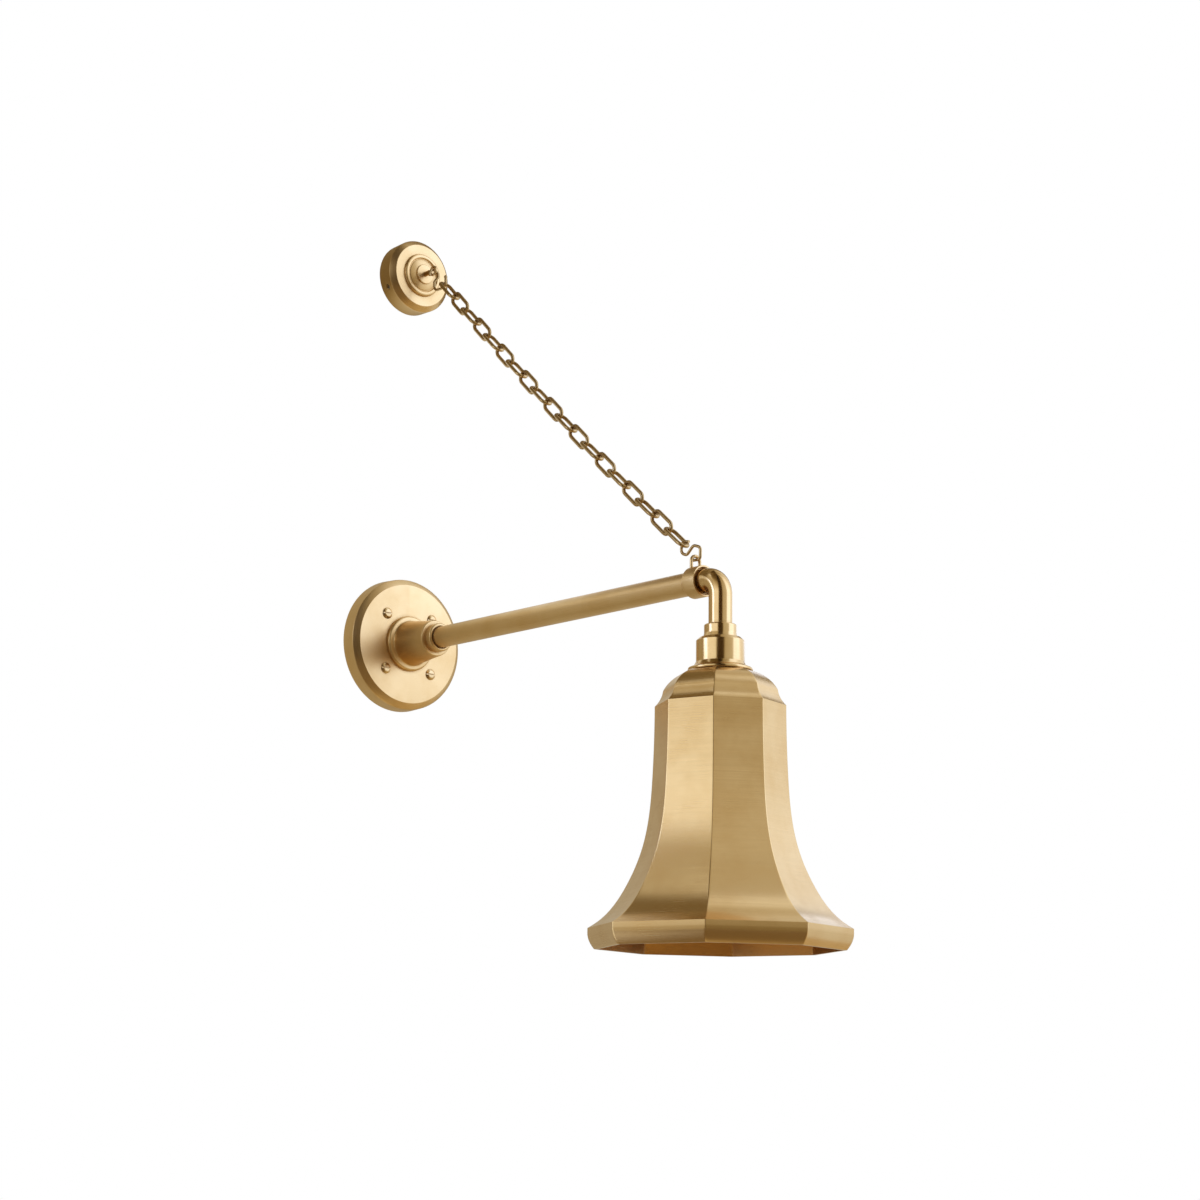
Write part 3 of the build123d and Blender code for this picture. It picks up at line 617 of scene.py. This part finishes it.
def dressed_rosette():
    """The rosette's cover with a deeper band, and its two set screws below the middle."""
    shell, holes, screws = bmesh.new(), bmesh.new(), bmesh.new()
    rise = ROSETTE_RISE / MM
    cover = ROSETTE_BAND + ROSETTE_BEAD + ROSETTE_DOME + ROSETTE_BACK
    add_turned(shell, cover, (0, 0, rise), (0, -1, 0), COVER_STEPS)
    for way in (-1, 1):
        axis = (way * cos(SET_SCREW_FALL), 0, -sin(SET_SCREW_FALL))
        for mesh, section in ((holes, SET_SCREW_HOLE), (screws, SET_SCREW)):
            add_turned(mesh, section, (0, -SET_SCREW_OUT, rise), axis, HOLE_STEPS)
    add_piece("chain_rosette", cut_away(shell, holes), MATERIALS["rosette"],
              "wall_frame", "satin_brass", "rosette_cover")
    add_piece("set_screws", closed(screws), MATERIALS["dark"],
              "wall_frame", "dark_steel", "rosette_grub_screws")


def dressed_plate_screws():
    """The plate's four screws with wider heads and level slots."""
    heads, slots = bmesh.new(), bmesh.new()
    size = Vector((SLOT_LONG, 2 * SLOT_DEEP, SLOT_WIDE)) * MM
    for x in (-PLATE_SCREW_AT, PLATE_SCREW_AT):
        for z in (-PLATE_SCREW_AT, PLATE_SCREW_AT):
            add_turned(heads, HEAD + SHANK, (x, -PLATE_FACE, z), (0, -1, 0), HEAD_STEPS)
            at = Vector((x, -PLATE_FACE - HEAD_RISE, z)) * MM
            bmesh.ops.create_cube(slots, size=1, matrix=Matrix.LocRotScale(at, None, size))
    add_piece("face_screws", cut_away(heads, slots), MATERIALS["screws"],
              "wall_frame", "satin_brass", "plate_screws")


dressed_rosette()
dressed_plate_screws()


# ---- studio and camera --------------------------------------------------------------

# Levels of the room that metal reflects, as (place, level). ROOM_TURN goes by degrees to the
# right of the camera as the picture shows it. The other two go by the sine of the height, one
# for each side of the camera.
ROOM_TURN = [
    (-180, 0.6), (-110, 0.8), (-78, 1.4), (-68, 1.15), (-60, 0.9), (-22, 0.85), (-15, 0.04),
    (15, 0.05), (22, 0.5), (60, 0.62), (67, 1.3), (100, 1.35), (116, 0.95), (180, 0.8)]
ROOM_RISE_LEFT = [(0, 1.0), (0.3, 1.3), (0.45, 0.85), (0.6, 0.5), (0.8, 0.2), (1, 0.1)]
ROOM_RISE_RIGHT = [(0, 1.0), (0.3, 1.2), (0.6, 1.15), (0.85, 0.95), (1, 0.5)]
# the wall behind the light, in metres to the right of the arm and above it
WALL_ACROSS = [
    (-1.6, 0.9), (-1.06, 1.3), (-0.64, 1.45), (-0.58, 0.5), (-0.45, 0.36), (-0.3, 0.48),
    (-0.12, 0.42), (0.0, 0.5), (0.1, 0.5), (0.4, 0.6), (1.6, 0.9)]
WALL_UP = [
    (-1.2, 0.8), (-0.3, 0.9), (0.08, 1.0), (0.2, 1.8), (0.32, 1.7), (0.37, 0.42), (0.8, 0.42),
    (1.4, 0.8)]
WALL_BEHIND = 0.003
FLOOR_HALF, FLOOR_LEVEL = 6.0, -2.2
FLOOR_SHADED, FLOOR_LIT = (0.22, 0.14, 0.05), (1.0, 0.80, 0.44)
# gain and power of green and of blue: dim levels turn warm, bright ones a little cool
TINT = ((1.07, 1.22), (1.2, 1.75))
SOFT_GREY = (0.85, 0.85, 0.85)            # what the room gives to surfaces that aren't glossy


def level_ramp(s, value, stops):
    """Grey levels along a value: stops are (value, level), in order."""
    low, high = stops[0][0], stops[-1][0]
    ramp = s.add("ShaderNodeValToRGB")
    s.put(s.ranged(value, low, high, 0.0, 1.0), ramp.inputs[0])
    elements = ramp.color_ramp.elements
    for count, (place, level) in enumerate(stops):
        share = (place - low) / (high - low)
        element = elements[count] if count < 2 else elements.new(share)
        element.position = share
        element.color = (level, level, level, 1)
    return ramp.outputs[0]


def tinted(s, level):
    """Grey level to colour."""
    node = s.add("ShaderNodeCombineColor")
    s.put(level, node.inputs[0])
    for socket, (gain, power) in zip(node.inputs[1:], TINT):
        s.put(s.math("MULTIPLY", s.math("POWER", level, power), gain), socket)
    return node.outputs[0]


def studio():
    """White to the camera; to the metal, a soft room with bright and dark sides."""
    world = bpy.data.worlds.new("studio")
    bpy.context.scene.world = world
    s = Shader(world)
    ray = s.add("ShaderNodeLightPath")
    x, y, z = s.split(s.add("ShaderNodeTexCoord").outputs["Generated"])
    side = s.math("WRAP", s.math("SUBTRACT", s.math("ARCTAN2", y, x), CAMERA_SIDE), pi, -pi)
    turn = s.math("DEGREES", side)
    rise = s.mix(s.ranged(turn, -12, 12, 0.0, 1.0),
                 level_ramp(s, z, ROOM_RISE_LEFT), level_ramp(s, z, ROOM_RISE_RIGHT))
    shaped = s.mix(1.0, level_ramp(s, turn, ROOM_TURN), rise, "MULTIPLY")
    # the room is dimmer near the horizon, but less so at the far right
    horizon = s.ranged(turn, 50, 75, 0.5, 0.8)
    room = tinted(s, s.math("MULTIPLY", shaped, s.ranged(z, 0.0, 0.16, horizon, 1.0)))
    glossy = s.mix(ray.outputs["Is Glossy Ray"], SOFT_GREY, room)
    seen = s.math("MAXIMUM", ray.outputs["Is Camera Ray"], ray.outputs["Is Transmission Ray"])
    background = s.add("ShaderNodeBackground")
    s.put(s.mix(seen, glossy, WHITE), background.inputs["Color"])
    s.put(background.outputs[0], s.add("ShaderNodeOutputWorld").inputs["Surface"])


def sheet(name, corners, material):
    """One four-sided face of the studio."""
    mesh = bpy.data.meshes.new(name)
    mesh.from_pydata(corners, [], [(0, 1, 2, 3)])
    plane = bpy.data.objects.new(name, mesh)
    bpy.context.collection.objects.link(plane)
    mesh.materials.append(material)


def floor():
    """Pale floor far below; metal sees on it a painted pool of warm light below the shade and to the right.
    """
    material, s = new_material("pale_floor")
    at = s.placed((0, -ARM_REACH, 0))
    x, y, _ = s.split(at)
    # painted light: glossy rays see the floor lit below the shade and to the right, shaded elsewhere
    below = s.ranged(s.off_axis(x, y), 0.5, 1.2, 1.0, 0.0)
    lit = s.math("MAXIMUM", below, s.ranged(x, 0.2, 1.4, 0.0, 0.6))
    warm = s.mix(lit, FLOOR_SHADED, FLOOR_LIT)
    pale = s.mix(s.noise(at, 40.0, 4.0), (0.80, 0.80, 0.80), (0.84, 0.84, 0.84))
    seen = s.mix(s.add("ShaderNodeLightPath").outputs["Is Glossy Ray"], pale, warm)
    s.surface(Base_Color=seen, Roughness=0.6)
    sheet("floor", [(FLOOR_HALF * x, FLOOR_HALF * y, FLOOR_LEVEL)
                    for x, y in ((-1, -1), (1, -1), (1, 1), (-1, 1))], material)


def wall():
    """The wall behind, a glowing sheet that metal alone sees: painted shade near the light, bright further
    left.
    """
    material, s = new_material("studio_wall")
    x, _, z = s.split(s.placed())
    glow = s.add("ShaderNodeEmission")
    level = s.math("MULTIPLY", level_ramp(s, x, WALL_ACROSS), level_ramp(s, z, WALL_UP))
    s.put(tinted(s, level), glow.inputs["Color"])
    clear = s.add("ShaderNodeBsdfTransparent")
    both = s.add("ShaderNodeMixShader")
    s.put(s.add("ShaderNodeLightPath").outputs["Is Glossy Ray"], both.inputs[0])
    s.put(clear.outputs[0], both.inputs[1])
    s.put(glow.outputs[0], both.inputs[2])
    s.put(both.outputs[0], s.add("ShaderNodeOutputMaterial").inputs["Surface"])
    (left, _), (right, _) = WALL_ACROSS[0], WALL_ACROSS[-1]
    (low, _), (high, _) = WALL_UP[0], WALL_UP[-1]
    sheet("wall", [(x, WALL_BEHIND, z) for x, z in
                   ((left, low), (right, low), (right, high), (left, high))], material)


def softbox(name, at, towards, size, power):
    """Rectangular soft light that faces a point."""
    lamp = bpy.data.lights.new(name, "AREA")
    lamp.shape = "RECTANGLE"
    lamp.size, lamp.size_y = size
    lamp.energy = power
    holder = bpy.data.objects.new(name, lamp)
    holder.location = at
    holder.rotation_euler = (Vector(towards) - Vector(at)).to_track_quat("-Z", "Y").to_euler()
    bpy.context.collection.objects.link(holder)


def camera():
    """The camera of the photograph: panned, tipped up from below and rolled a little."""
    data = bpy.data.cameras.new("camera")
    data.lens = CAMERA_LENS
    data.sensor_width = SENSOR_WIDE
    holder = bpy.data.objects.new("camera", data)
    turn = Matrix.Rotation(CAMERA_PAN, 4, "Z") @ Matrix.Rotation(CAMERA_PITCH, 4, "X")
    turn = turn @ Matrix.Rotation(CAMERA_ROLL, 4, "Z")
    holder.matrix_world = Matrix.Translation(CAMERA_AT) @ turn
    bpy.context.collection.objects.link(holder)
    bpy.context.scene.camera = holder


studio()
floor()
wall()
softbox("key_softbox", at=(-1.9, -0.6, 0.9), towards=(0, -0.3, 0), size=(1.6, 1.6), power=0.8)
camera()
bpy.context.scene.view_settings.view_transform = "Standard"
